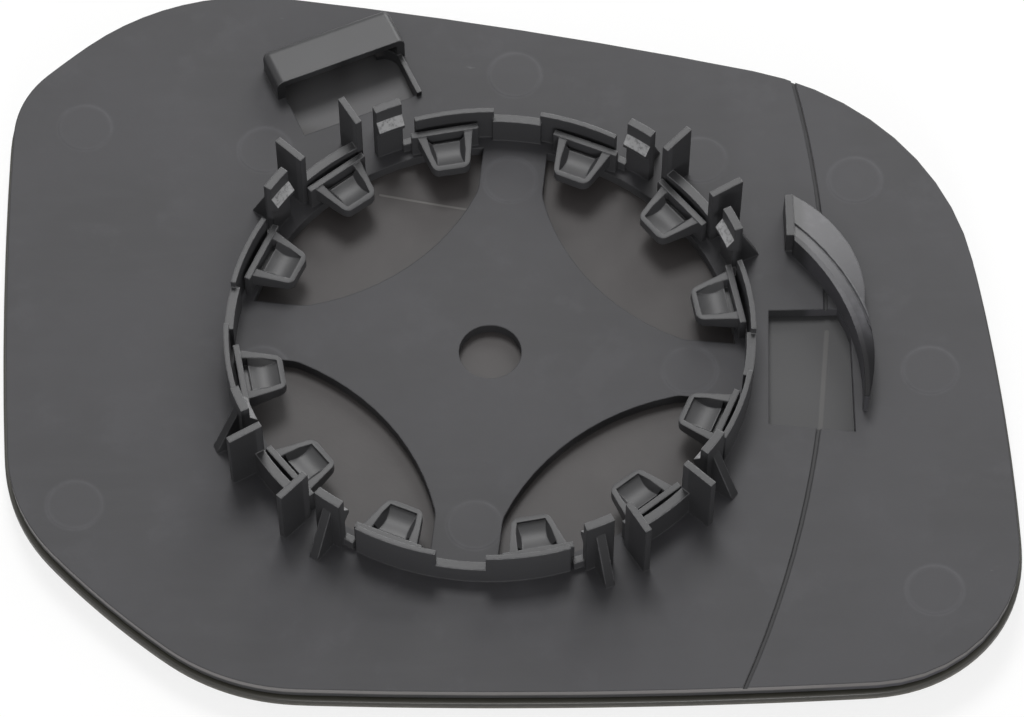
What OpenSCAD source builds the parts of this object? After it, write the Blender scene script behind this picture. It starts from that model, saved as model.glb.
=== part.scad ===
// Car door mirror glass: a convex glass on a moulded backing plate, lying glass down.
// The origin is the centre of the spider hole, on the top face of the plate. Z points away from the glass.

/* [Main sizes] */
// Distance between the left and the right edge of the glass
glass_w = 173.5; // [171:0.1:178]
// Distance between the top and the bottom edge of the glass
glass_h = 137.9; // [135.3:0.1:142.3]
// Outside diameter of the ring wall
ring_od = 92.8; // [91:0.1:93.6]

/* [Glass outline, right edge] */
// Direction the right edge faces, degrees from +X
right_dir = 7.6; // [4:0.1:11]
// Distance of the right edge from the origin
right_off = 88; // [84:0.2:90.4]
// Bow radius of the right edge
right_bow = 410; // [300:10:700]
// Corner radius between the right and the top edge
right_top_r = 52; // [40:1:58]

/* [Glass outline, top edge] */
// Direction the top edge faces
top_dir = 78.6; // [76:0.1:81]
// Distance of the top edge from the origin
top_off = 69.3; // [66:0.1:71.9]
// Bow radius of the top edge
top_bow = 613; // [450:1:900]
// Corner radius between the top and the upper left edge
top_upper_r = 47; // [36:1:54]

/* [Glass outline, upper left edge] */
// Direction the upper left edge faces
upper_dir = 119.4; // [117:0.1:122]
// Distance along X from the crown of the left edge to the crown of this edge
upper_x = 38.067; // [35:0.001:41]
// Distance along Y from the crown of the top edge to the crown of this edge
upper_y = 15.878; // [14:0.001:18]
// Bow radius of the upper left edge
upper_bow = 154; // [140:1:180]
// Corner radius between the upper left and the left edge
upper_left_r = 19.2; // [15:0.1:24]

/* [Glass outline, left edge] */
// Direction the left edge faces
left_dir = 184; // [181:0.1:187]
// Bow radius of the left edge
left_bow = 745; // [500:5:1100]
// Corner radius between the left and the lower left edge
left_lower_r = 33; // [24:1:40]

/* [Glass outline, lower left edge] */
// Direction the lower left edge faces
lower_dir = 238.3; // [236:0.1:241]
// Distance along X from the crown of the left edge to the crown of this edge
lower_x = 42.834; // [40:0.001:46]
// Distance along Y from the crown of the bottom edge to the crown of this edge
lower_y = 0.146; // [-1:0.001:1]
// Bow radius of the lower left edge
lower_bow = 164; // [150:1:190]
// Corner radius between the lower left and the bottom edge
lower_bottom_r = 39; // [30:1:46]

/* [Glass outline, bottom edge] */
// Direction the bottom edge faces
bottom_dir = 269.9; // [268:0.1:272]
// Bow radius of the bottom edge
bottom_bow = 1785; // [1000:5:2400]
// Corner radius between the bottom and the right edge
bottom_right_r = 27; // [20:1:34]

/* [Layers] */
// Radius of the convex front face of the glass
front_r = 1300; // [1000:10:2000]
// Thickness of the glass
glass_t = 2; // [1.6:0.1:3]
// Thickness of the adhesive film
film_t = 0.6; // [0.4:0.1:1]
// Thickness of the backing plate
plate_t = 2.2; // [1.8:0.1:3]
// How far the glass stands out past the plate
plate_inset = 0.8; // [0.5:0.1:1.4]
// How far the plate stands out past the film
film_inset = 0.6; // [0.4:0.1:1.5]

/* [Snap ring] */
// Turn of the whole ring pattern about Z
ring_turn = -6; // [-7:0.1:-5]
// Thickness of the ring wall
wall_t = 0.9; // [0.8:0.1:1.3]
// Height of the ring wall
wall_h = 8.6; // [8:0.1:10]
// Angle covered by each of the four wall pieces
wall_sweep = 46.6; // [45:0.1:47.4]
// Angle covered by the low stretch in the middle of each wall piece
notch_sweep = 10.6; // [8:0.1:13]
// Extra thickness of the wall along the low stretch
sill_t = 0.7; // [0.4:0.1:0.9]
// Height of the low stretch at the right
notch_right = 7; // [5:0.1:7.6]
// Height of the low stretch at the top
notch_top = 6.6; // [5:0.1:7.6]
// Height of the low stretch at the left
notch_left = 7; // [5:0.1:7.6]
// Height of the low stretch at the bottom
notch_bottom = 4.8; // [3.4:0.1:6]

/* [Spider] */
// Diameter of the centre hole
hole_d = 11; // [8:0.1:14]
// Width of the four arms
arm_w = 11.6; // [9:0.1:12.4]
// Radius of the hub side of the openings
hub_arc_r = 42; // [38:0.5:46]
// Distance from the origin to the near point of that arc
hub_r = 23; // [18:0.5:26]
// Corner radius where the arc runs into an arm
arm_fillet = 6; // [4:0.1:8]
// Gap between the outer arc of the openings and the backs of the catches
open_gap = 0.3; // [0.2:0.1:0.6]

/* [Catches] */
// Angle between an arm and the catch on either side of it
catch_turn = 16.9; // [16.2:0.1:17.6]
// Width of the standing back of a catch
back_w = 12.2; // [11:0.1:12.6]
// Thickness of the back
back_t = 1.1; // [0.9:0.1:1.4]
// Height of the back
back_h = 6.1; // [5.6:0.1:6.8]
// Slot between the back and the ring wall
catch_gap = 1; // [0.8:0.1:1.3]
// Width of the scoop where it meets the back
catch_w = 10.6; // [9.4:0.1:10.8]
// Width of the scoop at its tip
tip_w = 6.4; // [5.6:0.1:7.4]
// How far the tip of the scoop is from the outside of the back
catch_reach = 8.1; // [7.2:0.1:8.8]
// Height of the rim of the scoop at its tip
tip_h = 4.7; // [4.4:0.1:5.2]
// Height of the underside of the scoop
scoop_z = 2.7; // [2.4:0.1:3]
// Width of the rim round the pocket
rim_t = 1; // [0.8:0.1:1.2]
// Floor left under the pocket
floor_t = 1.1; // [0.9:0.1:1.3]
// Radius of the hollow floor
floor_r = 6.5; // [6:0.1:9]
// Width of the groove between pocket and back
slit_w = 0.9; // [0.6:0.1:1.1]
// Length of that groove
slit_len = 6.6; // [5.6:0.1:7.2]
// Floor left under that groove
slit_floor = 0.6; // [0.5:0.1:0.9]
// Corner radius of the tip
tip_r = 1.6; // [1.2:0.1:1.9]
// Drop of the rim under the top of the back where they meet
rim_drop = 0.3; // [0.1:0.1:0.6]

/* [Fins and posts] */
// Angle between a diagonal and the fin on either side of it
fin_turn = 7.9; // [7.8:0.1:8.3]
// Thickness of a fin
fin_t = 1.2; // [1:0.1:1.5]
// Height of a fin
fin_h = 14.7; // [12.5:0.1:17]
// How far a fin reaches past the ring wall
fin_reach = 5.3; // [4.6:0.1:6.6]
// Height of the wall behind a diagonal catch
bridge_h = 7; // [6:0.1:8]
// Thickness of the wall behind a diagonal catch
bridge_t = 1.7; // [1.2:0.1:2.4]
// Angle between a diagonal and the post on either side of it
post_turn = 15.6; // [15.2:0.1:15.9]
// Angle covered by a post
post_sweep = 6.2; // [5.2:0.1:6.4]
// How far a post stands inside the outer face of the ring wall
post_sink = 0.7; // [0.5:0.1:0.8]
// Height of a post
post_h = 14.7; // [13.4:0.1:16]
// Thickness of a post
post_t = 1.5; // [1.2:0.1:1.8]
// How far the bead of a post stands in
bead_in = 1.3; // [1:0.1:1.6]
// Height of the upper end of the bead
bead_h = 11.6; // [10:0.1:12.4]
// Height of the upper slope of the bead
bead_upper = 1.7; // [1.2:0.1:2.2]
// Height of the face of the bead
bead_face = 0.8; // [0.4:0.1:1.2]
// Height of the lower slope of the bead
bead_lower = 1.2; // [0.8:0.1:1.8]
// Width of the gusset behind a post
gusset_w = 1.7; // [1.4:0.1:2.2]
// Height of the gusset behind a post
gusset_h = 11.5; // [8:0.1:12.4]
// Width of the low foot beside a post
foot_w = 1.9; // [1.4:0.1:2.1]
// Height of the foot
foot_h = 2.8; // [2.2:0.1:3.4]

/* [Hood] */
// Direction of the hood from the origin
hood_dir = 113.9; // [113:0.1:115]
// Depth of the hood
hood_d = 8; // [7:0.1:8.4]
// Width of the hood
hood_w = 25.1; // [23:0.1:26]
// Offset of the middle of the hood from its direction
hood_shift = 1.45; // [0.6:0.05:2]
// Height of the roof over the plate
hood_h = 4.8; // [4:0.1:6]
// Wall and roof thickness of the hood
hood_t = 1.5; // [1.2:0.1:1.8]
// Radius of the rounded edges
hood_r = 1.4; // [0.8:0.1:1.5]
// Distance from the ring wall to the near side of the window
window_gap = 8.9; // [8.2:0.1:9.3]
// Distance from the near side of the window to the open front of the roof
roof_gap = 8.9; // [7.7:0.1:9.3]
// Depth of the window at its rounded corner
window_d = 11.3; // [10.9:0.1:12.1]
// Radius of the rounded corner of the window
window_r = 3.2; // [2.6:0.1:3.6]
// Thickness of the lip along the rounded corner and the side next to it
lip_t = 0.9; // [0.6:0.1:1.2]
// Height of the lip
lip_h = 1; // [0.6:0.1:1.6]

/* [Guide] */
// Gap between the ring wall and the right window at its far end
slot_gap = 2.8; // [2.4:0.1:4]
// Width of the right window at its far end
slot_w = 14.2; // [12.8:0.1:14.8]
// How far the left side leans out at its near end
slot_lean = 0.7; // [0.4:0.1:0.9]
// Near side of the right window at its right end
slot_y0 = -17.3; // [-18:0.1:-16]
// How far the near side rises to its left end
slot_rise = 1.9; // [1:0.1:2.4]
// Far side of the right window
slot_y1 = 8; // [6:0.1:9]
// Gap between the right window and the farthest point of the guide's inner face
guide_gap = 1.6; // [1.2:0.1:2]
// Y of the centre the guide bends round
guide_y = -8.9; // [-9.2:0.1:-8.6]
// Radius of the inner face of the guide
guide_r = 41.2; // [40.9:0.1:41.6]
// Height of the guide over the plate
guide_h = 4.8; // [4:0.1:5.6]
// Width of the flat top of the guide
guide_top = 0.9; // [0.6:0.1:1.2]
// Drop of the sloping back over one millimetre
guide_fall = 0.36; // [0.2:0.01:0.42]
// Distance from the inner face to the groove in the slope
groove_off = 2.9; // [2.4:0.1:3.4]
// Depth of the groove
groove_deep = 0.5; // [0.3:0.1:0.8]
// Width of the groove
groove_w = 0.6; // [0.4:0.1:1]
// Thickness of the end wall of the guide
guide_end_t = 1.5; // [1.2:0.1:1.8]
// Distance along X from the centre of the bend to the end wall
guide_end_x = 30.2; // [30:0.1:30.6]
// Distance along Y from the centre of the bend to the near end of the end wall
guide_end_y = 29.3; // [29:0.1:29.6]
// Width of the end wall
guide_end_w = 8.6; // [8:0.1:9]

/* [Line in the plate] */
// Radius of the curved line
line_r = 210.5; // [205:0.5:216]
// Y of the centre the line bends round
line_y = 14.9; // [14:0.1:16]
// Distance from the origin to the line
line_off = 59.4; // [58.8:0.1:60.4]
// Width of the line
line_w = 0.7; // [0.5:0.1:1]
// Depth of the line
line_deep = 0.4; // [0.2:0.1:0.6]

/* [Hidden] */
big = 20;
left_off = glass_w - right_off;
bottom_off = glass_h - top_off;
// Crowns of the six edges: the slanted ones follow the left edge along X and the top or bottom edge along Y
right_p = right_off * dir(right_dir);
top_p = top_off * dir(top_dir);
left_p = left_off * dir(left_dir);
bottom_p = bottom_off * dir(bottom_dir);
upper_p = [left_p[0] + upper_x, top_p[1] + upper_y];
lower_p = [left_p[0] + lower_x, bottom_p[1] - lower_y];
side = [
    [right_dir, right_p, right_bow], [top_dir, top_p, top_bow], [upper_dir, upper_p, upper_bow],
    [left_dir, left_p, left_bow], [lower_dir, lower_p, lower_bow], [bottom_dir, bottom_p, bottom_bow]
];
corner = [right_top_r, top_upper_r, upper_left_r, left_lower_r, lower_bottom_r, bottom_right_r];
// Radii of the faces between the layers, all round one centre
film_face_r = front_r - glass_t;
plate_face_r = film_face_r - film_t;
top_face_r = plate_face_r - plate_t;
centre_z = top_face_r;
ring_r = ring_od / 2;
wall_in = ring_r - wall_t;
catch_x1 = wall_in - catch_gap;
catch_x0 = catch_x1 - catch_reach;
back_x = catch_x1 - back_t;
open_r = back_x - open_gap;
post_in = ring_r - post_sink;
bridge_r = wall_in;
notch_z = [notch_right, notch_top, notch_left, notch_bottom];
window_off = ring_r + window_gap;
window_far = window_off + window_d;
hood_off = window_off + roof_gap;
hood_y0 = hood_shift - hood_w / 2;
hood_y1 = hood_shift + hood_w / 2;
hood_x1 = hood_off + hood_d;
window_y0 = hood_y0 + hood_t;
window_cx = window_far - window_r;
window_cy = window_y0 + window_r;
slot_x0 = ring_r + slot_gap;
slot_x1 = slot_x0 + slot_w;
guide_x = slot_x1 + guide_gap - guide_r;
guide_z1 = top_z(slot_x1 + guide_gap) + guide_h;
// The slope behind the guide ends on two arcs, placed from the centre of the bend
foot_far_c = guide_r * [0.4272, 0.4563];
foot_far_r = guide_r * 0.5971;
foot_near_c = guide_r * [0.1068, 0.1481];
foot_near_r = guide_r * 0.9417;

function dir(a) = [cos(a), sin(a)];
function turn_of(v) = atan2(v[1], v[0]);
// Height of the top face of the plate at a distance from the origin
function top_z(r) = centre_z - sqrt(top_face_r * top_face_r - r * r);
function side_c(i) = side[i][1] - side[i][2] * dir(side[i][0]);
function next(i) = (i + 1) % len(side);
function prev(i) = (i + len(side) - 1) % len(side);
// Centre of the corner arc that touches two bowed sides from inside
function corner_c(i) =
    let (c1 = side_c(i), c2 = side_c(next(i)), r1 = side[i][2] - corner[i], r2 = side[next(i)][2] - corner[i],
        v = c2 - c1, d = norm(v), a = (r1 * r1 - r2 * r2 + d * d) / (2 * d), h = sqrt(max(0, r1 * r1 - a * a)),
        m = c1 + v * a / d, q = [-v[1], v[0]] / d, p1 = m + q * h, p2 = m - q * h,
        to = dir((side[i][0] + side[next(i)][0] + (next(i) == 0 ? 360 : 0)) / 2))
    p1 * to > p2 * to ? p1 : p2;
// Turns an angle so that it follows another one by less than half a turn
function after(a, b) = b - a > 180 ? b - 360 : (b - a < -180 ? b + 360 : b);
function arc(c, r, a, b, n) = [for (k = [0 : n - 1]) c + r * dir(a + (after(a, b) - a) * k / n)];
function side_arc(i, inset) =
    arc(side_c(i), side[i][2] - inset, turn_of(corner_c(prev(i)) - side_c(i)), turn_of(corner_c(i) - side_c(i)), 6);
function corner_arc(i, inset) =
    arc(corner_c(i), corner[i] - inset, turn_of(corner_c(i) - side_c(i)),
        turn_of(corner_c(i) - side_c(next(i))), 10);
function outline(inset) =
    [for (i = [0 : len(side) - 1], p = concat(side_arc(i, inset), corner_arc(i, inset))) p];

module ball(r) {
    translate([0, 0, centre_z]) rotate([0, 90, 0]) sphere(r = r, $fn = 480);
}

// Layer between two faces, cut to the outline
module layer(r_low, r_high, inset) {
    difference() {
        intersection() {
            translate([0, 0, -big]) linear_extrude(2 * big) polygon(outline(inset));
            ball(r_low);
        }
        ball(r_high);
    }
}

module mirror_glass() {
    color([0.24, 0.25, 0.18]) layer(front_r, film_face_r, 0);
}

module adhesive_film() {
    color([0.36, 0.34, 0.33]) layer(film_face_r, plate_face_r, plate_inset + film_inset);
}

// One of the four openings, with the diagonal along +X
module spider_opening() {
    hub_x = hub_r + hub_arc_r;
    n = [sin(45), -cos(45)];
    u = dir(45);
    w = arm_w / 2;
    s = hub_x * sin(45) - sqrt(pow(hub_arc_r - arm_fillet, 2) - pow(w + arm_fillet - hub_x * sin(45), 2));
    f = (w + arm_fillet) * n + s * u;
    a = turn_of(f - [hub_x, 0]);
    upper = concat([w * n + 1.3 * ring_r * u], arc(f, arm_fillet, 135, a > 0 ? a : a + 360, 5),
        arc([hub_x, 0], hub_arc_r, a, 180, 6));
    lower = [for (k = [len(upper) - 1 : -1 : 0]) [upper[k][0], -upper[k][1]]];
    translate([0, 0, -big]) linear_extrude(2 * big) intersection() {
        polygon(concat(upper, [[hub_r, 0]], lower));
        circle(r = open_r, $fn = 96);
    }
}

// Window in the plate in front of the hood and under its roof
module hood_window() {
    rotate([0, 0, hood_dir]) {
        translate([0, 0, -big]) linear_extrude(2 * big) {
            translate([window_off, window_cy])
                square([hood_x1 - hood_t - window_off, hood_y1 - hood_t - window_cy]);
            translate([window_off, window_y0]) square([window_cx - window_off, window_r + 1]);
            translate([window_cx, window_cy]) circle(r = window_r, $fn = 48);
        }
    }
}

module right_window() {
    translate([0, 0, -big]) linear_extrude(2 * big) intersection() {
        polygon([
            [slot_x0, slot_y1], [slot_x0 - slot_lean, slot_y0 + slot_rise], [slot_x1, slot_y0], [slot_x1, slot_y1]
        ]);
        translate([guide_x, guide_y]) circle(r = guide_r - 0.1, $fn = 120);
    }
}

module plate_shell() {
    difference() {
        layer(plate_face_r, top_face_r, plate_inset);
        translate([0, 0, -big]) cylinder(d = hole_d, h = 2 * big, $fn = 48);
        for (k = [0 : 3]) rotate([0, 0, ring_turn + 45 + 90 * k]) spider_opening();
        hood_window();
        right_window();
        // Curved line, cut to an even depth
        intersection() {
            translate([line_off - line_r, line_y, -big]) difference() {
                cylinder(r = line_r + line_w / 2, h = 2 * big, $fn = 240);
                translate([0, 0, -1]) cylinder(r = line_r - line_w / 2, h = 2 * big + 2, $fn = 240);
            }
            ball(top_face_r + line_deep);
            translate([line_off / 2, -line_r / 2, -big]) cube([line_off, line_r, 2 * big]);
        }
    }
}

// Curved wall piece, centred on +X
module wall_piece(r0, r1, sweep, z0, z1) {
    rotate([0, 0, -sweep / 2]) rotate_extrude(angle = sweep, $fn = 120)
        translate([r0, z0]) square([r1 - r0, z1 - z0]);
}

module ring_wall(notch) {
    z0 = top_z(wall_in) - plate_t / 2;
    difference() {
        wall_piece(wall_in, ring_r, wall_sweep, z0, wall_h);
        wall_piece(wall_in - 2, ring_r + 2, notch_sweep, notch, wall_h + 1);
    }
    wall_piece(wall_in - sill_t, wall_in + 0.1, notch_sweep + 0.6, z0, notch);
}

// Scoop-shaped catch reaching in along -X from its standing back
module catch() {
    x_in = catch_x0 + rim_t;
    x_slit = back_x - slit_w;
    side_k = (catch_w - tip_w) / 2 / catch_reach;
    half = tip_w / 2 + side_k * rim_t - rim_t;
    rise = (back_h - rim_drop - tip_h) / (back_x - catch_x0);
    difference() {
        intersection() {
            translate([0, 0, scoop_z]) linear_extrude(5) catch_plan(back_x + back_t / 2, side_k);
            rotate([90, 0, 0]) translate([0, 0, -10]) linear_extrude(20) polygon([
                [catch_x0 - 1, 0], [catch_x1 + 1, 0],
                [catch_x1 + 1, tip_h + rise * (catch_reach + 1)], [catch_x0 - 1, tip_h - rise]
            ]);
        }
        intersection() {
            linear_extrude(20) polygon([
                [x_in, -half], [back_x + 0.2, -half - side_k * (back_x + 0.2 - x_in)],
                [back_x + 0.2, half + side_k * (back_x + 0.2 - x_in)], [x_in, half]
            ]);
            union() {
                translate([x_slit, -slit_len / 2, scoop_z + slit_floor]) cube([slit_w + 1, slit_len, 10]);
                intersection() {
                    translate([(x_in + x_slit) / 2, 10, scoop_z + floor_t + floor_r]) rotate([90, 0, 0])
                        cylinder(r = floor_r, h = 20, $fn = 48);
                    rotate([90, 0, 90]) linear_extrude(60) polygon([
                        [-2.1, scoop_z + 1], [2.1, scoop_z + 1], [5, scoop_z + 5.4], [-5, scoop_z + 5.4]
                    ]);
                }
            }
        }
    }
    translate([back_x, -back_w / 2, top_z(back_x) - plate_t / 2])
        cube([back_t, back_w, back_h - top_z(back_x) + plate_t / 2]);
}

// Trapezoid with a rounded tip
module catch_plan(x_end, side_k) {
    a = atan(side_k);
    r = tip_r;
    d = (1 - sin(a)) / cos(a) * r;
    w = tip_w / 2 + side_k * (x_end - catch_x0);
    polygon(concat(
        [[x_end, -w], [x_end, w]],
        arc([catch_x0 + r, tip_w / 2 - d], r, 90 + a, 180, 4),
        arc([catch_x0 + r, -tip_w / 2 + d], r, 180, 270 - a, 4),
        [[catch_x0 + r - r * sin(a), -tip_w / 2 + d - r * cos(a)]]
    ));
}

module fin() {
    z0 = top_z(ring_r) - plate_t / 2;
    translate([ring_r - 1, -fin_t / 2, z0]) cube([fin_reach + 1, fin_t, fin_h - z0]);
}

module post() {
    z0 = top_z(ring_r) - plate_t / 2;
    bead_z0 = bead_h - bead_upper - bead_face - bead_lower;
    wall_piece(post_in, post_in + post_t, post_sweep, z0, post_h);
    rotate([0, 0, -post_sweep / 2]) rotate_extrude(angle = post_sweep, $fn = 120) polygon([
        [post_in + 0.2, bead_h], [post_in, bead_h], [post_in - bead_in, bead_h - bead_upper],
        [post_in - bead_in, bead_z0 + bead_lower], [post_in, bead_z0], [post_in + 0.2, bead_z0]
    ]);
    translate([0, gusset_w / 2, 0]) rotate([90, 0, 0]) linear_extrude(gusset_w) polygon([
        [post_in + 0.5, z0], [ring_r + fin_reach, z0], [ring_r + fin_reach, top_z(ring_r + fin_reach) + 0.2],
        [post_in + post_t, gusset_h], [post_in + 0.5, gusset_h]
    ]);
}

// Low foot that joins one side of a post
module foot() {
    z0 = top_z(ring_r) - plate_t / 2;
    translate([post_in - 0.7, -foot_w / 2, z0]) cube([1.3, foot_w, foot_h - z0]);
}

module snap_ring() {
    for (k = [0 : 3]) rotate([0, 0, ring_turn + 90 * k]) {
        ring_wall(notch_z[k]);
        for (a = [-catch_turn, catch_turn, 45]) rotate([0, 0, a]) catch();
        rotate([0, 0, 45]) {
            wall_piece(bridge_r, bridge_r + bridge_t, 2 * fin_turn, top_z(wall_in) - plate_t / 2, bridge_h);
            for (a = [-1, 1]) {
                rotate([0, 0, a * fin_turn]) fin();
                rotate([0, 0, a * post_turn]) post();
                rotate([0, 0, a * (post_turn + post_sweep / 2 + 1)]) foot();
            }
        }
    }
}

// Block rounded along its top, its back and both sides, open faced at the front
module soft_block(x0, x1, y0, y1, z0, z1, r) {
    translate([x0, y0 + r, z0]) cube([x1 - x0, y1 - y0 - 2 * r, z1 - r - z0]);
    translate([x0, y0, z0]) cube([x1 - r - x0, y1 - y0, z1 - r - z0]);
    translate([x0, y0 + r, z0]) cube([x1 - r - x0, y1 - y0 - 2 * r, z1 - z0]);
    for (y = [y0 + r, y1 - r]) {
        translate([x1 - r, y, z0]) cylinder(r = r, h = z1 - r - z0, $fn = 24);
        translate([x0, y, z1 - r]) rotate([0, 90, 0]) cylinder(r = r, h = x1 - r - x0, $fn = 24);
        translate([x1 - r, y, z1 - r]) sphere(r = r, $fn = 24);
    }
    translate([x1 - r, y0 + r, z1 - r]) rotate([-90, 0, 0]) cylinder(r = r, h = y1 - y0 - 2 * r, $fn = 24);
}

module hood() {
    z0 = top_z(hood_off) - plate_t / 2;
    z1 = top_z(hood_off + hood_d / 2) + hood_h;
    lip_z0 = top_z(window_off) - plate_t / 2;
    lip_z1 = top_z((window_off + window_far) / 2) + lip_h;
    rotate([0, 0, hood_dir]) {
        difference() {
            soft_block(hood_off, hood_x1, hood_y0, hood_y1, z0, z1, hood_r);
            translate([hood_off - 1, hood_y0 + hood_t, z0 - 5])
                cube([hood_d - hood_t + 1, hood_w - 2 * hood_t, z1 - hood_t - z0 + 5]);
        }
        translate([window_off - 0.4, window_y0 - lip_t, lip_z0])
            cube([window_cx - window_off + 0.4, lip_t, lip_z1 - lip_z0]);
        translate([window_cx, window_cy, 0]) rotate([0, 0, -45])
            wall_piece(window_r, window_r + lip_t, 90, lip_z0, lip_z1);
    }
}

// Guide with an upright inner face and a sloping back, bending round its own centre
module guide() {
    z0 = top_z(slot_x1) - plate_t / 2;
    a0 = -5.7;
    g = guide_r + groove_off;
    h = groove_w / 2;
    w = guide_r * 0.267;
    translate([guide_x, guide_y, 0]) intersection() {
        rotate([0, 0, a0]) rotate_extrude(angle = 60, $fn = 120) polygon([
            [guide_r, z0], [guide_r, guide_z1], [guide_r + guide_top, guide_z1],
            [g - h, guide_z1 - guide_fall * (g - h - guide_r - guide_top)],
            [g, guide_z1 - guide_fall * (g - guide_r - guide_top) - groove_deep],
            [g + h, guide_z1 - guide_fall * (g + h - guide_r - guide_top)],
            [guide_r + w, guide_z1 - guide_fall * (w - guide_top)], [guide_r + w, z0]
        ]);
        translate([guide_end_x - 0.1, -guide_r, -big]) cube([guide_r, 2 * guide_r, 3 * big]);
        translate([0, 0, -big]) linear_extrude(3 * big) {
            translate(foot_far_c) circle(r = foot_far_r, $fn = 96);
            translate(foot_near_c) circle(r = foot_near_r, $fn = 120);
        }
    }
    translate([guide_x + guide_end_x - guide_end_t, guide_y + guide_end_y, z0])
        cube([guide_end_t, guide_end_w, guide_z1 - z0]);
}

module backing_plate() {
    color([0.2, 0.2, 0.21]) {
        plate_shell();
        snap_ring();
        hood();
        guide();
    }
}

mirror_glass();
adhesive_film();
backing_plate();
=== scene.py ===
"""Looks of a car door mirror glass: materials for the backing plate and the film,
a smooth convex glass in place of the plain one, and the photo stage."""

import math

import bmesh
import bpy
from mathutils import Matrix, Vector


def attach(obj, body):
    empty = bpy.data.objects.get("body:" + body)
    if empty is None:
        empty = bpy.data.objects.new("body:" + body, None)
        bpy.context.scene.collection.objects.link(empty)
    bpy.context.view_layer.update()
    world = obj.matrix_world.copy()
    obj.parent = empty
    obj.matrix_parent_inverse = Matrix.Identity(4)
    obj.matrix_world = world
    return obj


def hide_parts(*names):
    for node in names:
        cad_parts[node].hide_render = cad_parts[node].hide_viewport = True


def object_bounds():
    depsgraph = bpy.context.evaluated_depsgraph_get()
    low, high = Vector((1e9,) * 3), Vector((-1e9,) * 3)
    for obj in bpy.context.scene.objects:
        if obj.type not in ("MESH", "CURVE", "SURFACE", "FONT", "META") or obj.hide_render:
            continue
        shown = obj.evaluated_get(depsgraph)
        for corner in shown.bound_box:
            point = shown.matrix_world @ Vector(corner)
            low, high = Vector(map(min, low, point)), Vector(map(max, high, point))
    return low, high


bl_info = {
    "name": "Car door mirror glass looks",
    "version": (1, 0, 0),
    "blender": (4, 5, 0),
    "location": "View3D > Sidebar > Mirror glass",
    "description": "Dresses the packed mirror glass with its materials, glass and stage",
    "category": "Object",
}

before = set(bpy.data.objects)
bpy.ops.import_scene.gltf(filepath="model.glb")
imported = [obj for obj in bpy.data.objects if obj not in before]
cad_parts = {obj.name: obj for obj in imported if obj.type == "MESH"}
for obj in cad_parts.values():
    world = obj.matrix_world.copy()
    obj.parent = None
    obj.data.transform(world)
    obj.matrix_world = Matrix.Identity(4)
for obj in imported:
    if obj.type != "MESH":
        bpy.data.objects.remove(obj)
CAD_LOW, CAD_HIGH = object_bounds()

MM = 0.001


def mm(*values):
    """Millimetres as metres."""
    return tuple(value * MM for value in values)


# Places are seen from above, from the middle of the plate's centre hole: +X is the guide's side, +Y the
# hood's.

# Round marks that the pins of the mould left on the plate, in mm
PIN_MARKS = (
    (3.5, 36.2), (-40.0, -4.1), (35.0, -4.1), (-2.5, -35.2), (-73.6, 46.0), (65.6, 35.1),
    (76.9, -5.2), (75.2, -49.2), (-71.0, -32.3), (37.9, 40.1), (4.4, 58.9), (-40.9, 42.2),
)
# Faint lines pressed into the film: two ends and half width in mm, and strength
FILM_LINES = (
    ((-20.0, 34.3), (-2.8, 31.0), 0.32, 1.0),
    ((59.5, 4.6), (57.5, -15.5), 0.6, 0.4),
)
LINE_CORE = 0.4
LINE_COLOR = (0.12, 0.115, 0.11)
SCUFF_COLOR = (0.16, 0.16, 0.16)

# Bands as soft start, full start, full end and soft end. The first two are distances from the middle,
# seen from above.
CATCH_FLOORS = mm(36.8, 37.4, 43.0, 43.6)
RING_WALLS = mm(36.0, 36.5, 46.6, 46.8)
# Depths are taken from the plate's top face, and are below 0 over it
OUTER_WALL_TOP = mm(-0.4, -0.1, 0.9, 1.4)
# The tilt is the upward part of a face's normal
BEAD_TILT = (0.48, 0.52, 0.72, 0.78)

# Where a mask starts and where it is full: distances from the middle and places along an axis,
# then depths, then tilts
OUTER_WALL_FROM = mm(66.5, 67.5)
CATCH_EDGES_END = mm(42.5, 44.0)
PLATE_GUIDE_FROM = mm(55.0, 57.0)
# Where the guide's painted shade at its near end gives way to the painted highlight of its far part
GUIDE_HIGHLIGHT_FROM = mm(-6.0, 6.0)
NEAR_GUIDE_FROM = mm(12.0, -4.0)
FILM_GUIDE_FROM = mm(44.0, 48.0)
FILM_HOOD_FROM_Y = mm(46.0, 50.0)
FILM_HOOD_FROM_X = mm(-10.0, -14.0)
EDGE_HEIGHT = mm(-0.6, -1.4)
BEAD_HEIGHT = mm(-7.0, -8.0)
POCKET_HEIGHT = mm(-5.2, -4.6)
GROOVE_DEPTH = mm(0.1, 0.3)
UPRIGHT = (0.4, 0.2)
LEVEL = (0.5, 0.7)
GUIDE_TOPS = (0.2, 0.4)
# An edge shows where the softened normal leaves the true one, and gets a painted highlight where it turns
# upward
SOFTENED = (0.995, 0.9)
TURNED_UP = (0.1, 0.45)
# The top face is what lies no further than this from its ball and faces the same way
TOP_FACE_DEPTH = 0.5 * MM
SAME_WAY = 0.9

# Noise patterns as scale, detail and roughness; a stretched one has a scale for each axis
PLATE_CLOUDS = (38.0, 4.0, 0.55)
PLATE_PATCHES = (75.0, 5.0, 0.65)
PLATE_STREAKS = ((60, 260, 60), 3.0)
PLATE_SCUFFS = ((160, 520, 160), 5.0, 0.7)
SCUFFED_AREAS = (30.0, 2.0)
# Noise that breaks up the painted highlight along the edges
EDGE_HIGHLIGHT_BREAKS = (900.0, 3.0)
BEAD_FLECKS = (1400.0, 3.0, 0.7)
FILM_CLOUDS = (55.0, 4.0, 0.6)
FILM_GRAIN = (1500.0, 3.0, 0.6)
MIRROR_HAZE = (25.0, 4.0)
PAINT_SPOTS = (260.0, 4.0, 0.6)
GLASS_CHIPS = (420.0, 5.0, 0.7)
GLASS_GRAIN = (2600.0, 3.0)
FLOOR_CLOUDS = (3.0, 2.0)

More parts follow.
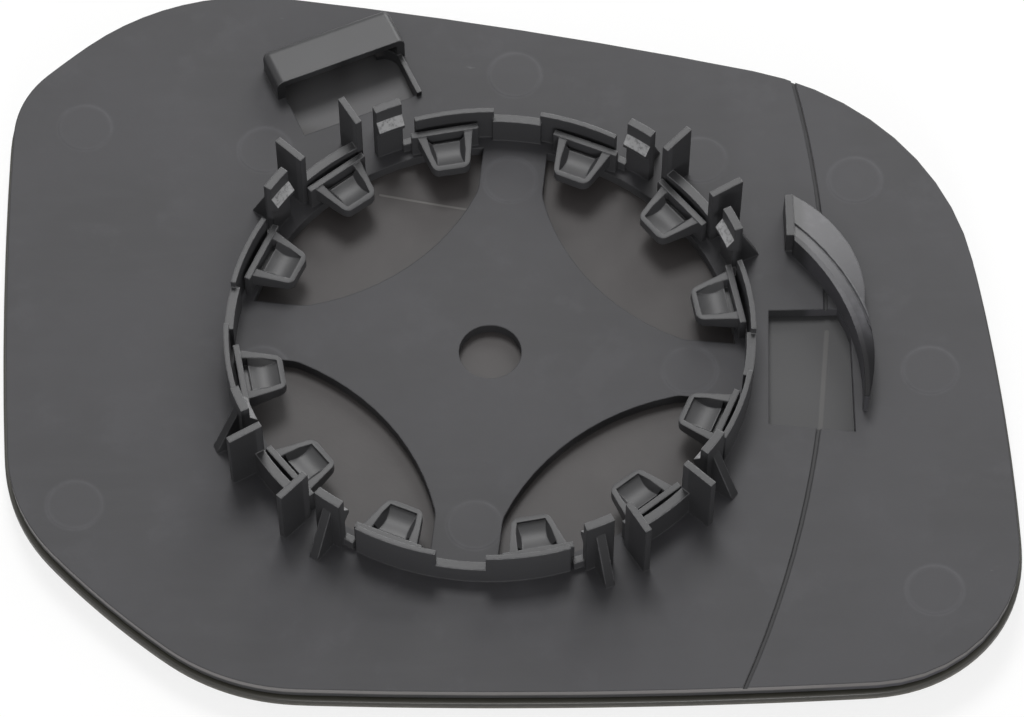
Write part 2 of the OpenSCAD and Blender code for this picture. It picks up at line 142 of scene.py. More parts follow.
# Specular level of what stands on the plate and of its top face
FEATURE_SPECULAR, TOP_SPECULAR = 0.3, 0.38
BEVEL_SAMPLES = 6

# Points of the glass's outline, and the sizes of the mesh's rings as shares of it
PANE_POINTS = 288
PANE_RINGS = (0.985, 0.95, 0.88, 0.79, 0.69, 0.59, 0.49, 0.39, 0.29, 0.19, 0.09)
PANE_MIDDLE = 0.001
SAME_HEIGHT = 0.001 * MM
# Edges of the pane that are bent by more than this, in radians, are ground
GROUND_ANGLE = 1
GROUND_SEGMENTS = 3
# The upward or downward part of a normal from which a face belongs to the back or the mirror
LOOKS_UP = 0.9
SMOOTH_ANGLE = 35

FLOOR_SIZE = 6
# Brightness of the floor where it is seen, with what the lamps add to it
FLOOR_LEVEL = 1.04
LAMP_DISTANCE = 0.9
# Name, power setting, size in metres, bearing and elevation in degrees, and whether the lamp does more
# than make highlights. Bearing 0 is the far side, and 90 the right.
LAMPS = (
    ("top lamp", "key_power", 0.3, -6, 60, True),
    ("back lamp", "back_power", 0.4, 20, 27, False),
    ("front lamp", "front_power", 0.2, 176, 20, True),
)
# The camera fitted to the photo: place in metres, angle below level in degrees, focal length in pixels
CAMERA_PLACE = (0.003842, -0.368833, 0.594948)
CAMERA_DOWN = 58.3
FOCAL_PIXELS = 3979
PHOTO_WIDTH = 1024
SENSOR_WIDTH = 36


class PlateSettings(bpy.types.PropertyGroup):
    color: bpy.props.FloatVectorProperty(
        name="Plastic", description="Colour of the moulded plate", subtype="COLOR", size=3,
        min=0, max=1, default=(0.036, 0.0355, 0.039))
    smooth_color: bpy.props.FloatVectorProperty(
        name="Smooth plastic", description="Colour of the ring and the hood", subtype="COLOR",
        size=3, min=0, max=1, default=(0.034, 0.034, 0.036))
    # Painted highlight: a light colour on the beads' sloping faces
    bead_highlight_color: bpy.props.FloatVectorProperty(
        name="Beads", description="Colour of the highlit beads of the posts", subtype="COLOR", size=3,
        min=0, max=1, default=(0.39, 0.39, 0.395))
    # Painted light: a lighter colour on the level floors of the catches' hollows
    pocket_light_color: bpy.props.FloatVectorProperty(
        name="Pockets", description="Colour of the hollow floors of the catches", subtype="COLOR", size=3,
        min=0, max=1, default=(0.056, 0.056, 0.058))
    # Painted highlight: a light colour along the upper part of the plate's outer wall
    rim_color: bpy.props.FloatVectorProperty(
        name="Rim", description="Colour of the upper part of the plate's outer wall", subtype="COLOR",
        size=3, min=0, max=1, default=(0.17, 0.162, 0.16))
    # Painted highlight: a lighter colour along upper edges that turn toward the lamps
    edge_color: bpy.props.FloatVectorProperty(
        name="Edges", description="Colour along highlighted edges", subtype="COLOR", size=3,
        min=0, max=1, default=(0.19, 0.19, 0.195))
    roughness: bpy.props.FloatProperty(
        name="Roughness", description="Roughness of the plate's broad face", min=0.1, max=1, default=0.58)
    smooth_roughness: bpy.props.FloatProperty(
        name="Smooth roughness", description="Roughness of the ring, the hood and the guide",
        min=0.1, max=1, default=0.36)
    edge_radius: bpy.props.FloatProperty(
        name="Edge radius", description="Radius of the moulded edges", subtype="DISTANCE", unit="LENGTH",
        min=0, max=0.001, default=0.00035)
    grain: bpy.props.FloatProperty(
        name="Grain", description="Size of the fine moulding grain", subtype="DISTANCE", unit="LENGTH",
        min=0.0001, max=0.002, default=0.0004)
    mark_radius: bpy.props.FloatProperty(
        name="Pin mark radius", description="Radius of the round marks of the mould's pins",
        subtype="DISTANCE", unit="LENGTH", min=0.001, max=0.01, default=0.0047)


class FilmSettings(bpy.types.PropertyGroup):
    color: bpy.props.FloatVectorProperty(
        name="Film", description="Colour of the adhesive film", subtype="COLOR", size=3,
        min=0, max=1, default=(0.0315, 0.0275, 0.0272))
    # Painted shade: darker film in the right window by the guide
    guide_film_shade_color: bpy.props.FloatVectorProperty(
        name="By the guide", description="Colour of the film in the right window", subtype="COLOR", size=3,
        min=0, max=1, default=(0.027, 0.027, 0.0285))
    # Painted light: the film in the hood's shade made lighter
    hood_film_light_color: bpy.props.FloatVectorProperty(
        name="By the hood", description="Colour of the film in the window by the hood", subtype="COLOR",
        size=3, min=0, max=1, default=(0.092, 0.091, 0.094))
    light_color: bpy.props.FloatVectorProperty(
        name="Clouds", description="Colour of the lighter clouds in the film", subtype="COLOR", size=3,
        min=0, max=1, default=(0.0415, 0.037, 0.0364))


class GlassSettings(bpy.types.PropertyGroup):
    front_radius: bpy.props.FloatProperty(
        name="Front radius", description="Radius of the convex front face", subtype="DISTANCE",
        unit="LENGTH", min=0.5, max=3, default=1.3)
    thickness: bpy.props.FloatProperty(
        name="Thickness", description="Thickness of the glass", subtype="DISTANCE", unit="LENGTH",
        min=0.001, max=0.004, default=0.002)
    edge_bevel: bpy.props.FloatProperty(
        name="Ground edge", description="Width of the ground edge", subtype="DISTANCE", unit="LENGTH",
        min=0.0001, max=0.0009, default=0.0004)
    mirror_color: bpy.props.FloatVectorProperty(
        name="Mirror", description="Colour of the mirror coating", subtype="COLOR", size=3,
        min=0, max=1, default=(0.8, 0.81, 0.81))
    back_color: bpy.props.FloatVectorProperty(
        name="Back paint", description="Colour of the paint behind the coating", subtype="COLOR", size=3,
        min=0, max=1, default=(0.045, 0.043, 0.034))
    edge_color: bpy.props.FloatVectorProperty(
        name="Edge", description="Colour of the ground edge", subtype="COLOR", size=3,
        min=0, max=1, default=(0.088, 0.082, 0.068))


class StageSettings(bpy.types.PropertyGroup):
    floor_color: bpy.props.FloatVectorProperty(
        name="Floor", description="Colour of the floor", subtype="COLOR", size=3,
        min=0, max=1, default=(0.93, 0.93, 0.925))
    shadow_share: bpy.props.FloatProperty(
        name="Shadow share", description="Share of the floor's brightness that the shadow takes away",
        min=0, max=1, default=0.28)
    world_level: bpy.props.FloatProperty(
        name="Surrounding light", description="Strength of the even light from all round",
        min=0, max=2, default=0.43)
    key_power: bpy.props.FloatProperty(
        name="Top lamp", description="Power of the soft lamp over the far side", unit="POWER",
        min=0, max=50, default=4.2)
    back_power: bpy.props.FloatProperty(
        name="Back lamp", description="Power of the low soft lamp behind the object", unit="POWER",
        min=0, max=50, default=4.6)
    front_power: bpy.props.FloatProperty(
        name="Front lamp", description="Power of the small lamp in front of the object", unit="POWER",
        min=0, max=50, default=2.3)


SETTINGS = (
    ("mirror_plate", PlateSettings), ("mirror_film", FilmSettings),
    ("mirror_pane", GlassSettings), ("mirror_stage", StageSettings),
)


# ---- node helpers


def add(tree, kind, inputs=None, **settings):
    """A new node with its inputs linked or set."""
    node = tree.nodes.new(kind)
    for name, value in settings.items():
        setattr(node, name, value)
    for name, value in (inputs or {}).items():
        link(tree, value, node, name)
    return node


def link(tree, value, node, name):
    """Links one input of a node to a socket, or sets it."""
    if isinstance(value, bpy.types.NodeSocket):
        tree.links.new(value, node.inputs[name])
    else:
        node.inputs[name].default_value = value


def number(tree, operation, *values):
    """The result of one Math node."""
    return add(tree, "ShaderNodeMath", dict(enumerate(values)), operation=operation).outputs[0]


def times(tree, first, *others):
    """The product of two or more numbers."""
    for other in others:
        first = number(tree, "MULTIPLY", first, other)
    return first


def opposite(tree, mask):
    """1 where the mask is 0, and 0 where it is 1."""
    return number(tree, "SUBTRACT", 1.0, mask)


def vector(tree, operation, *values, result="Vector"):
    """The result of one Vector Math node."""
    node = add(tree, "ShaderNodeVectorMath", dict(enumerate(values)), operation=operation)
    return node.outputs[result]


def scaled(tree, arrow, share):
    """A vector times a number."""
    return add(tree, "ShaderNodeVectorMath", {0: arrow, "Scale": share}, operation="SCALE").outputs[0]


def object_place(tree):
    """The place on the object, in its own coordinates."""
    return add(tree, "ShaderNodeTexCoord").outputs["Object"]


def true_normal(tree):
    """The normal of the surface."""
    return add(tree, "ShaderNodeNewGeometry").outputs["Normal"]


def parts(tree, arrow):
    """The X, Y and Z of a vector."""
    return tuple(add(tree, "ShaderNodeSeparateXYZ", {0: arrow}).outputs)


def ramp(tree, value, low, high, to_low=0.0, to_high=1.0, smooth=True):
    """Maps a value from one range to another, clamped."""
    return add(
        tree, "ShaderNodeMapRange",
        {"Value": value, "From Min": low, "From Max": high, "To Min": to_low, "To Max": to_high},
        interpolation_type="SMOOTHSTEP" if smooth else "LINEAR",
    ).outputs[0]


def band(tree, value, start, full_start, full_end, end):
    """1 between the two full values, 0 beyond start and end."""
    return times(tree, ramp(tree, value, start, full_start), ramp(tree, value, end, full_end))


def mix_color(tree, factor, first, second):
    """The mix of two colours."""
    node = add(tree, "ShaderNodeMix", data_type="RGBA")
    for socket, value in ((node.inputs[0], factor), (node.inputs[6], first), (node.inputs[7], second)):
        if isinstance(value, bpy.types.NodeSocket):
            tree.links.new(value, socket)
        else:
            socket.default_value = value if isinstance(value, float) else (*value[:3], 1)
    return node.outputs[2]


def tint(tree, color, mask, share, shade):
    """Takes a colour towards a shade, by a share of the mask."""
    return mix_color(tree, times(tree, mask, share), color, shade)


def noise(tree, place, scale, detail, rough=0.5):
    """A noise value from 0 to 1."""
    return add(
        tree, "ShaderNodeTexNoise",
        {"Vector": place, "Scale": scale, "Detail": detail, "Roughness": rough},
    ).outputs["Fac"]


def stretched_noise(tree, place, scales, detail, rough=0.5):
    """A noise value with its own scale along each axis."""
    return noise(tree, vector(tree, "MULTIPLY", place, scales), 1.0, detail, rough)


def bump(tree, height, normal, distance, strength):
    """The normal with a height pressed into it."""
    return add(
        tree, "ShaderNodeBump",
        {"Height": height, "Distance": distance, "Strength": strength, "Normal": normal},
    ).outputs[0]


def new_material(name):
    """A new material, its node tree and its shader."""
    made = bpy.data.materials.new(name)
    made.use_nodes = True
    return made, made.node_tree, made.node_tree.nodes["Principled BSDF"]


def ball_height(pane):
    """How high the one centre lies of the balls that the faces of glass, film and plate follow."""
    return CAD_LOW.z + pane.front_radius


def near_line(tree, place, a, b, width):
    """1 along the straight line from a to b, 0 away from it, seen from above."""
    a, b = Vector((*mm(*a), 0)), Vector((*mm(*b), 0))
    along = (b - a).normalized()
    offset = vector(tree, "SUBTRACT", place, a)
    run = vector(tree, "DOT_PRODUCT", offset, along, result="Value")
    run = number(tree, "MINIMUM", number(tree, "MAXIMUM", run, 0.0), (b - a).length)
    spot = scaled(tree, along, run)
    gap = vector(tree, "LENGTH", vector(tree, "SUBTRACT", offset, spot), result="Value")
    return ramp(tree, gap, width * MM * LINE_CORE, width * MM, 1.0, 0.0)


# ---- materials


class PlateMasks:
    """Place, depth and tilt on the plate, and the masks made from them."""

    def __init__(self, tree, look, pane):
        self.tree, self.look = tree, look
        self.place = object_place(tree)
        self.flat = vector(tree, "MULTIPLY", self.place, (1, 1, 0))
        self.reach = vector(tree, "LENGTH", self.flat, result="Value")
        self.x, self.y, _ = parts(tree, self.place)
        normal = true_normal(tree)
        self.tilt = parts(tree, normal)[2]

        # The plate's top face follows a ball: its normal is taken from the ball, so that no facet shows
        centre = Vector((0, 0, ball_height(pane)))
        to_centre = vector(tree, "SUBTRACT", centre, self.place)
        round_normal = vector(tree, "NORMALIZE", to_centre)
        away = vector(tree, "LENGTH", to_centre, result="Value")
        self.depth = number(tree, "SUBTRACT", away, centre.z)
        facing = vector(tree, "DOT_PRODUCT", normal, round_normal, result="Value")
        self.on_top = times(
            tree,
            number(tree, "LESS_THAN", number(tree, "ABSOLUTE", self.depth), TOP_FACE_DEPTH),
            number(tree, "GREATER_THAN", facing, SAME_WAY))
        self.off_top = opposite(tree, self.on_top)
        turned = scaled(tree, vector(tree, "SUBTRACT", round_normal, normal), self.on_top)
        self.normal = vector(tree, "NORMALIZE", vector(tree, "ADD", normal, turned))
        self.soft = add(
            tree, "ShaderNodeBevel", {"Radius": look.edge_radius, "Normal": self.normal},
            samples=BEVEL_SAMPLES).outputs[0]

        self.by_guide = ramp(tree, self.x, *PLATE_GUIDE_FROM)
        self.near_guide = times(tree, self.by_guide, ramp(tree, self.y, *NEAR_GUIDE_FROM))
        self.clouds = noise(tree, self.place, *PLATE_CLOUDS)
        self.patches = noise(tree, self.place, *PLATE_PATCHES)

    def edges(self):
        """Painted highlight along upper edges clear of the plate, fainter on catches and none at the
        guide's near end; noise breaks it up.
        """
        tree = self.tree
        bent = vector(tree, "DOT_PRODUCT", self.soft, self.normal, result="Value")
        edge = times(
            tree, ramp(tree, bent, *SOFTENED), ramp(tree, self.depth, *EDGE_HEIGHT),
            ramp(tree, parts(tree, self.soft)[2], *TURNED_UP), opposite(tree, self.near_guide),
            ramp(tree, self.reach, *CATCH_EDGES_END, 0.6, 1.0))
        highlight_breaks = times(tree, ramp(tree, noise(tree, self.place, *EDGE_HIGHLIGHT_BREAKS), 0.3, 0.6), 0.5)
        return times(tree, edge, number(tree, "ADD", highlight_breaks, 0.4))

    def beads(self):
        """Painted highlight on the sloping faces of the posts' beads, broken into flecks."""
        tree = self.tree
        flecks = ramp(tree, noise(tree, self.place, *BEAD_FLECKS), 0.35, 0.55, 0.5, 1.0)
        return times(
            tree, band(tree, self.tilt, *BEAD_TILT), ramp(tree, self.depth, *BEAD_HEIGHT), flecks)

    def pin_marks(self):
        """The rims and the discs of the round marks."""
        tree, radius = self.tree, self.look.mark_radius
        gap = None
        for x, y in PIN_MARKS:
            one = vector(tree, "DISTANCE", self.flat, (*mm(x, y), 0), result="Value")
            gap = one if gap is None else number(tree, "MINIMUM", gap, one)
        from_rim = number(tree, "ABSOLUTE", number(tree, "SUBTRACT", gap, radius))
        rim = ramp(tree, from_rim, 0.0, 0.8 * MM, 1.0, 0.0)
        disc = ramp(tree, gap, radius - 0.2 * MM, radius + 0.3 * MM, 1.0, 0.0)
        return times(tree, rim, self.on_top), times(tree, disc, self.on_top)

    def scuffs(self):
        """A few fine scuffs in some areas."""
        tree = self.tree
        fine = ramp(tree, stretched_noise(tree, self.place, *PLATE_SCUFFS), 0.69, 0.76)
        return times(tree, fine, ramp(tree, noise(tree, self.place, *SCUFFED_AREAS), 0.5, 0.62))

    def lit_upright_walls(self):
        """Upright faces of ring walls and catches, which get painted light."""
        tree = self.tree
        return times(tree, band(tree, self.reach, *RING_WALLS), ramp(tree, self.tilt, *UPRIGHT))

    def lit_pocket_floors(self):
        """Level floors in the catches' hollows, which get painted light."""
        tree = self.tree
        return times(
            tree, band(tree, self.reach, *CATCH_FLOORS), ramp(tree, self.depth, *POCKET_HEIGHT),
            ramp(tree, self.tilt, *LEVEL))

    def outer_wall_highlight(self):
        """The upper part of the plate's outer wall, which gets a painted highlight."""
        tree = self.tree
        return times(
            tree, ramp(tree, self.reach, *OUTER_WALL_FROM), self.off_top,
            band(tree, self.depth, *OUTER_WALL_TOP))

    def groove_shade(self):
        """The bottom of the curved groove, which gets painted shade."""
        return times(self.tree, ramp(self.tree, self.depth, *GROOVE_DEPTH), self.on_top)


def broad_color(tree, masks, base, rim, disc):
    """Colour of the plate's broad face: clouds, streaks, patches, pin marks and scuffs.

    Each pattern is lighter or darker than the plain colour by the factor on base.
    """
    streaks = stretched_noise(tree, masks.place, *PLATE_STREAKS)
    color = mix_color(tree, ramp(tree, masks.clouds, 0.35, 0.65), base * 0.82, base * 1.15)
    color = tint(tree, color, ramp(tree, streaks, 0.4, 0.8), 0.4, base * 1.18)
    color = tint(tree, color, ramp(tree, masks.patches, 0.52, 0.66), 0.6, base * 1.3)
    worn_rim = times(tree, rim, ramp(tree, masks.patches, 0.38, 0.6, 0.3, 1.0))
    color = tint(tree, color, worn_rim, 0.8, base * 1.8)
    color = tint(tree, color, disc, 0.4, base * 1.3)
    return tint(tree, color, masks.scuffs(), 0.35, SCUFF_COLOR)


def feature_color(tree, masks, look, base):
    """Colour of all that stands on the plate: the guide, the ring walls, the catches and the rest, with
    painted light and shade on the guide, the upright walls and the pocket floors.
    """
    plain = Vector(look.smooth_color)
    color = mix_color(tree, ramp(tree, masks.clouds, 0.3, 0.7), plain * 0.92, plain * 1.08)
    # Painted highlight in patches on the guide's far part, and painted shade at its near end
    guide_highlight = mix_color(tree, ramp(tree, masks.patches, 0.42, 0.6), base * 1.6, base * 2.9)
    guide = mix_color(tree, ramp(tree, masks.y, *GUIDE_HIGHLIGHT_FROM), base * 0.35, guide_highlight)
    # Painted light: the guide's upright faces made lighter
    guide = mix_color(tree, ramp(tree, masks.tilt, *GUIDE_TOPS), base * 1.9, guide)
    color = mix_color(tree, masks.by_guide, color, guide)
    # Painted light: upright faces of ring walls and catches made lighter than the smooth plastic
    color = mix_color(tree, masks.lit_upright_walls(), color, plain * 1.5)
    # Painted light on the level floors of the catches' hollows
    return mix_color(tree, masks.lit_pocket_floors(), color, tuple(look.pocket_light_color))


def plate_material(look, pane):
    """Black moulded plastic with soft edges, fine grain, flow clouds, pin marks and a few scuffs, and with
    painted highlights, painted light and painted shade on what stands on it.
    """
    made, tree, shader = new_material("black moulded plastic")
    masks = PlateMasks(tree, look, pane)
    rim, disc = masks.pin_marks()
    base = Vector(look.color)

    color = mix_color(
        tree, masks.on_top, feature_color(tree, masks, look, base),
        broad_color(tree, masks, base, rim, disc))
    # Painted highlight along the upper edges
    color = mix_color(tree, masks.edges(), color, tuple(look.edge_color))
    # Painted highlight on the beads' sloping faces
    color = mix_color(tree, masks.beads(), color, tuple(look.bead_highlight_color))
    # Painted highlight along the top of the plate's outer wall
    color = mix_color(tree, masks.outer_wall_highlight(), color, tuple(look.rim_color))
    # Painted shade: the bottom of the curved groove darkened
    link(tree, tint(tree, color, masks.groove_shade(), 0.7, base * 0.25), shader, "Base Color")

    rough = ramp(tree, masks.on_top, 0, 1, look.smooth_roughness, look.roughness, smooth=False)
    rough = number(tree, "ADD", rough, times(tree, masks.clouds, 0.1))
    link(tree, rough, shader, "Roughness")
    # The near end of the guide shines less than the rest
    dull = times(tree, masks.near_guide, masks.off_top, 0.8)
    shine = ramp(tree, masks.on_top, 0, 1, FEATURE_SPECULAR, TOP_SPECULAR, smooth=False)
    link(tree, times(tree, shine, opposite(tree, dull)), shader, "Specular IOR Level")

    grain = noise(tree, masks.place, 1 / look.grain, detail=2.0, rough=0.6)
    normal = bump(tree, grain, masks.soft, distance=0.02 * MM, strength=0.5)
    normal = bump(tree, disc, normal, distance=0.06 * MM, strength=0.6)
    normal = bump(tree, masks.clouds, normal, distance=0.4 * MM, strength=0.15)
    link(tree, normal, shader, "Normal")
    return made


def film_material(look):
    """Dull brownish film with soft clouds and two faint lines pressed into it, with painted shade in the
    right window by the guide and painted light in the window by the hood.
    """
    made, tree, shader = new_material("adhesive film")
    place = object_place(tree)
    flat = vector(tree, "MULTIPLY", place, (1, 1, 0))
    x, y, _ = parts(tree, place)
    clouds = ramp(tree, noise(tree, place, *FILM_CLOUDS), 0.32, 0.68)
    first, second = (
        times(tree, near_line(tree, flat, a, b, width), strength)
        for a, b, width, strength in FILM_LINES)
    lines = number(tree, "MAXIMUM", first, second)

    by_hood = times(tree, ramp(tree, y, *FILM_HOOD_FROM_Y), ramp(tree, x, *FILM_HOOD_FROM_X))
    color = mix_color(tree, clouds, tuple(look.color), tuple(look.light_color))
    # Painted shade: darker film in the right window by the guide
    color = mix_color(tree, ramp(tree, x, *FILM_GUIDE_FROM), color, tuple(look.guide_film_shade_color))
    # Painted light: lighter film in the window by the hood
    color = mix_color(tree, by_hood, color, tuple(look.hood_film_light_color))
    link(tree, tint(tree, color, lines, 0.8, LINE_COLOR), shader, "Base Color")
    shader.inputs["Roughness"].default_value = 0.62

    grain = noise(tree, place, *FILM_GRAIN)
    normal = bump(tree, grain, true_normal(tree), distance=0.03 * MM, strength=0.5)
    normal = bump(tree, lines, normal, distance=0.1 * MM, strength=0.5)
    link(tree, normal, shader, "Normal")
    return made


def mirror_material(look):
    """Mirror coating behind clear glass, with a faint haze."""
    made, tree, shader = new_material("mirror coating")
    haze = noise(tree, object_place(tree), *MIRROR_HAZE)
    shader.inputs["Metallic"].default_value = 1.0
    color = mix_color(tree, ramp(tree, haze, 0.35, 0.7),
                      tuple(look.mirror_color), tuple(Vector(look.mirror_color) * 0.97))
    link(tree, color, shader, "Base Color")
    link(tree, ramp(tree, haze, 0.4, 0.8, 0.015, 0.04), shader, "Roughness")
    shader.inputs["Coat Weight"].default_value = 0.6
    shader.inputs["Coat Roughness"].default_value = 0.02
    return made


def back_paint_material(look):
    """Dark olive paint that covers the coating from behind."""
    made, tree, shader = new_material("back paint")
    spots = noise(tree, object_place(tree), *PAINT_SPOTS)
    base = Vector(look.back_color)
    link(tree, mix_color(tree, spots, base * 0.8, base * 1.25), shader, "Base Color")
    shader.inputs["Roughness"].default_value = 0.45
    return made


def ground_edge_material(look):
    """Finely ground glass edge, darker towards the paint at its upper side."""
    made, tree, shader = new_material("ground edge")
    place = object_place(tree)
    chips = noise(tree, place, *GLASS_CHIPS)
    base = Vector(look.edge_color)
    color = mix_color(tree, ramp(tree, chips, 0.35, 0.7), base * 0.75, base * 1.35)
    to_centre = vector(tree, "SUBTRACT", Vector((0, 0, ball_height(look))), place)
    away = vector(tree, "LENGTH", to_centre, result="Value")
    height = number(tree, "SUBTRACT", look.front_radius, away)
    color = mix_color(tree, ramp(tree, height, *mm(0.4, 1.5)), color, base * 0.35)
    link(tree, color, shader, "Base Color")
    shader.inputs["Roughness"].default_value = 0.35
    grain = noise(tree, place, *GLASS_GRAIN)
    normal = bump(tree, grain, true_normal(tree), distance=0.03 * MM, strength=0.6)
    link(tree, normal, shader, "Normal")
    return made


def floor_material(look):
    """Plain white floor that renders white and keeps the object's shadow."""
    made, tree, shader = new_material("floor")
    base = Vector(look.floor_color)
    seen = add(tree, "ShaderNodeLightPath").outputs["Is Camera Ray"]
    clouds = noise(tree, object_place(tree), *FLOOR_CLOUDS)
    color = mix_color(tree, clouds, base * 0.995, base)
    link(tree, mix_color(tree, seen, color, base * look.shadow_share), shader, "Base Color")
    shader.inputs["Roughness"].default_value = 0.9
    shader.inputs["Specular IOR Level"].default_value = 0.1
    glow = add(tree, "ShaderNodeEmission", {
        "Color": (1, 1, 1, 1), "Strength": times(tree, seen, FLOOR_LEVEL - look.shadow_share)})
    both = add(tree, "ShaderNodeAddShader", {0: shader.outputs[0], 1: glow.outputs[0]})
    tree.links.new(both.outputs[0], tree.nodes["Material Output"].inputs["Surface"])
    return made


def dress(node, made):
    """Puts one material on a CAD node."""
    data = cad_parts[node].data
    data.materials.clear()
    data.materials.append(made)


# ---- pieces


def outline_points(count):
    """The glass's outline seen from above, as evenly spaced points in order."""
    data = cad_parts["mirror_glass"].data
    ring = set()
    for face in data.polygons:
        if abs(face.normal.z) < 0.5:
            for index in face.vertices:
                x, y, _ = data.vertices[index].co
                ring.add((round(x, 6), round(y, 6)))
    ring = [Vector(p) for p in sorted(ring, key=lambda p: math.atan2(p[1], p[0]))]
    sides = list(zip(ring, ring[1:] + ring[:1]))
    step = sum((b - a).length for a, b in sides) / count
    points, travelled, wanted = [], 0.0, 0.0
    for a, b in sides:
        length = (b - a).length
        while wanted < travelled + length and len(points) < count:
            points.append(a.lerp(b, (wanted - travelled) / length))
            wanted += step
        travelled += length
    for _ in range(2):
        points = [
            (points[i - 1] + 2 * points[i] + points[(i + 1) % count]) / 4 for i in range(count)
        ]
    return points


def select_edges(pane, test):
    """Selects the edges of a mesh in edit mode that pass the test, and nothing else."""
    mesh = bmesh.from_edit_mesh(pane.data)
    for group in (mesh.verts, mesh.edges, mesh.faces):
        for item in group:
            item.select = False
    for edge in mesh.edges:
        if test(edge):
            edge.select = True
    mesh.select_flush_mode()
    bmesh.update_edit_mesh(pane.data)


def shrink_to(share):
    """Scales the selection seen from above, towards the middle."""
    bpy.ops.transform.resize(value=(share, share, 1), center_override=(0, 0, 0))


class MIRROR_OT_plate(bpy.types.Operator):
    """Dress the backing plate in black moulded plastic"""

    bl_idname = "mirror.plate"
    bl_label = "Backing plate"

    def execute(self, context):
        scene = context.scene
        dress("backing_plate", plate_material(scene.mirror_plate, scene.mirror_pane))
        return {"FINISHED"}


class MIRROR_OT_film(bpy.types.Operator):
    """Dress the adhesive film"""

    bl_idname = "mirror.film"
    bl_label = "Adhesive film"

    def execute(self, context):
        dress("adhesive_film", film_material(context.scene.mirror_film))
        return {"FINISHED"}


class MIRROR_OT_pane(bpy.types.Operator):
    """Model the smooth convex glass with its ground edge"""

    bl_idname = "mirror.pane"
    bl_label = "Convex glass"

    def execute(self, context):
        look = context.scene.mirror_pane
        half = look.thickness / 2
        bpy.ops.object.select_all(action="DESELECT")
        bpy.ops.mesh.primitive_circle_add(vertices=PANE_POINTS, radius=0.08, location=(0, 0, 0))
        pane = context.object
        pane.name = pane.data.name = "convex_glass"
        for vertex, point in zip(pane.data.vertices, outline_points(PANE_POINTS)):
            vertex.co = (point.x, point.y, -half)
        bpy.ops.object.mode_set(mode="EDIT")
        bpy.ops.mesh.select_mode(type="EDGE")
        bpy.ops.mesh.select_all(action="SELECT")
        bpy.ops.mesh.extrude_edges_move(TRANSFORM_OT_translate={"value": (0, 0, look.thickness)})
        for side in (-half, half):
            self.close(pane, side)
        select_edges(
            pane, lambda e: len(e.link_faces) == 2 and e.calc_face_angle(0) > GROUND_ANGLE)
        bpy.ops.mesh.bevel(offset=look.edge_bevel, segments=GROUND_SEGMENTS, affect="EDGES")
        bpy.ops.mesh.select_all(action="SELECT")
        bpy.ops.mesh.normals_make_consistent(inside=False)
        bpy.ops.object.mode_set(mode="OBJECT")
        self.curve(pane.data, look, half)
        bpy.ops.object.shade_smooth_by_angle(angle=math.radians(SMOOTH_ANGLE))
        for made in (ground_edge_material(look), back_paint_material(look), mirror_material(look)):
            pane.data.materials.append(made)
        for face in pane.data.polygons:
            if face.normal.z > LOOKS_UP:
                face.material_index = 1
            elif face.normal.z < -LOOKS_UP:
                face.material_index = 2
        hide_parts("mirror_glass")
        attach(pane, "root")
        return {"FINISHED"}

    def close(self, pane, height):
        """Closes one face towards the middle, in rings that shrink step by step."""
        select_edges(pane, lambda e: e.is_boundary and all(
            abs(v.co.z - height) < SAME_HEIGHT for v in e.verts))
        size = 1.0
        for wanted in PANE_RINGS:
            bpy.ops.mesh.extrude_edges_move()
            shrink_to(wanted / size)
            size = wanted
        bpy.ops.mesh.extrude_edges_move()
        shrink_to(PANE_MIDDLE)
        bpy.ops.mesh.merge(type="CENTER")

    def curve(self, data, look, half):
        """Bends the flat pane between the two balls of its faces."""
        centre = ball_height(look)
        for vertex in data.vertices:
            reach = vertex.co.x ** 2 + vertex.co.y ** 2
            low = centre - math.sqrt(look.front_radius ** 2 - reach)
            high = centre - math.sqrt((look.front_radius - look.thickness) ** 2 - reach)
            share = (vertex.co.z + half) / look.thickness
            vertex.co.z = low + (high - low) * share
        data.update()


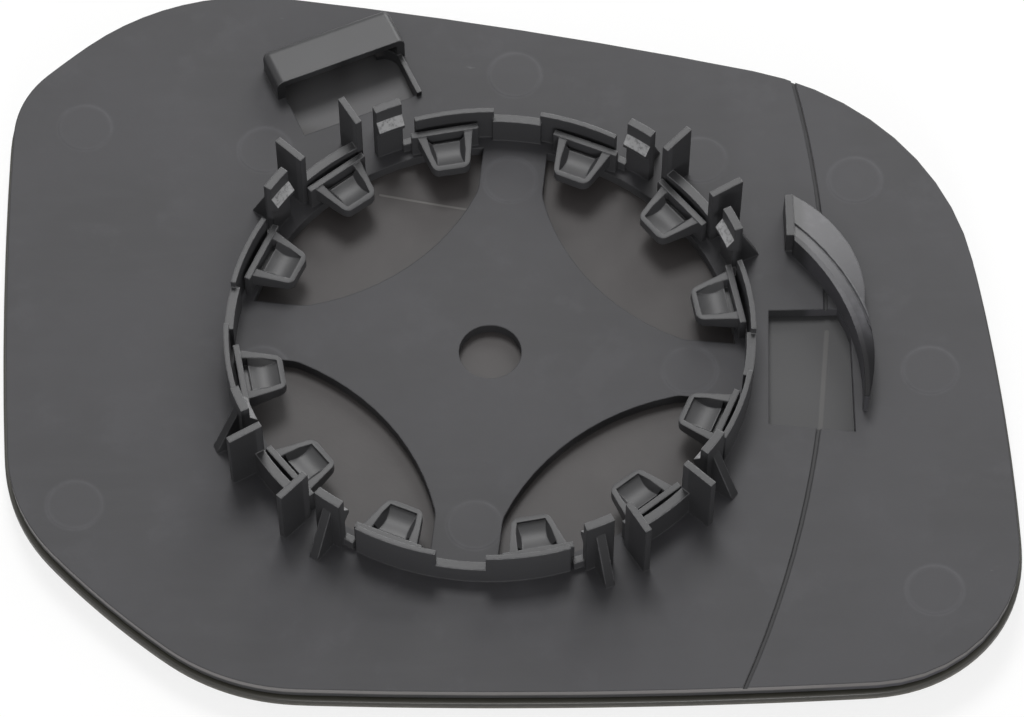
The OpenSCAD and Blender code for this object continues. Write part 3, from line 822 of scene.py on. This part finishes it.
class MIRROR_OT_stage(bpy.types.Operator):
    """Set the floor, the light and the camera"""

    bl_idname = "mirror.stage"
    bl_label = "Stage"

    def execute(self, context):
        scene, look = context.scene, context.scene.mirror_stage
        self.floor(context, look)
        self.surroundings(scene, look)
        for name, power, *setting in LAMPS:
            self.lamp(scene, name, getattr(look, power), *setting)
        self.camera(scene)
        scene.view_settings.view_transform = "Standard"
        return {"FINISHED"}

    def floor(self, context, look):
        """Adds the floor at the part's lowest point."""
        bpy.ops.object.select_all(action="DESELECT")
        bpy.ops.mesh.primitive_plane_add(size=FLOOR_SIZE, location=(0, 0, 0))
        floor = context.object
        floor.name = "floor"
        for vertex in floor.data.vertices:
            vertex.co.z = CAD_LOW.z
        floor.data.materials.append(floor_material(look))

    def surroundings(self, scene, look):
        """Sets even light from all round, white where it is seen or reflected."""
        world = bpy.data.worlds.new("surroundings")
        world.use_nodes = True
        scene.world = world
        tree = world.node_tree
        paths = add(tree, "ShaderNodeLightPath").outputs
        clear = number(tree, "MAXIMUM", paths["Is Glossy Ray"], paths["Is Transmission Ray"])
        seen = number(tree, "MAXIMUM", paths["Is Camera Ray"], clear)
        shine = tree.nodes["Background"]
        link(tree, (1, 1, 1, 1), shine, "Color")
        link(tree, ramp(tree, seen, 0, 1, look.world_level, 1.0, smooth=False), shine, "Strength")

    def lamp(self, scene, name, power, size, bearing, elevation, diffuse):
        """Adds one square lamp that shines on the origin."""
        data = bpy.data.lights.new(name, "AREA")
        data.energy, data.size = power, size
        holder = bpy.data.objects.new(name, data)
        scene.collection.objects.link(holder)
        around, up = math.radians(bearing), math.radians(elevation)
        away = Vector((math.sin(around) * math.cos(up), math.cos(around) * math.cos(up), math.sin(up)))
        holder.location = away * LAMP_DISTANCE
        holder.rotation_euler = away.to_track_quat("Z", "Y").to_euler()
        holder.visible_diffuse = diffuse

    def camera(self, scene):
        """Adds the camera of the photo."""
        data = bpy.data.cameras.new("photo camera")
        data.sensor_fit = "HORIZONTAL"
        data.sensor_width = SENSOR_WIDTH
        data.lens = FOCAL_PIXELS / PHOTO_WIDTH * SENSOR_WIDTH
        data.clip_start, data.clip_end = 0.01, 20
        camera = bpy.data.objects.new("photo camera", data)
        scene.collection.objects.link(camera)
        camera.location = CAMERA_PLACE
        camera.rotation_euler = (math.radians(90 - CAMERA_DOWN), 0, 0)
        scene.camera = camera


OPERATORS = (MIRROR_OT_plate, MIRROR_OT_film, MIRROR_OT_pane, MIRROR_OT_stage)


class MIRROR_PT_looks(bpy.types.Panel):
    """Sizes and colours of the mirror glass"""

    bl_idname = "MIRROR_PT_looks"
    bl_label = "Mirror glass"
    bl_space_type = "VIEW_3D"
    bl_region_type = "UI"
    bl_category = "Mirror glass"

    def draw(self, context):
        for name, group in SETTINGS:
            box = self.layout.box()
            settings = getattr(context.scene, name)
            for prop in group.__annotations__:
                box.prop(settings, prop)
        for operator in OPERATORS:
            self.layout.operator(operator.bl_idname)


CLASSES = (*(group for _, group in SETTINGS), *OPERATORS, MIRROR_PT_looks)


def register():
    for item in CLASSES:
        bpy.utils.register_class(item)
    for name, group in SETTINGS:
        setattr(bpy.types.Scene, name, bpy.props.PointerProperty(type=group))


def unregister():
    for name, _ in SETTINGS:
        delattr(bpy.types.Scene, name)
    for item in reversed(CLASSES):
        bpy.utils.unregister_class(item)


def main():
    register()
    bpy.ops.mirror.plate()
    bpy.ops.mirror.film()
    bpy.ops.mirror.pane()
    bpy.ops.mirror.stage()


if __name__ == "__main__":
    main()
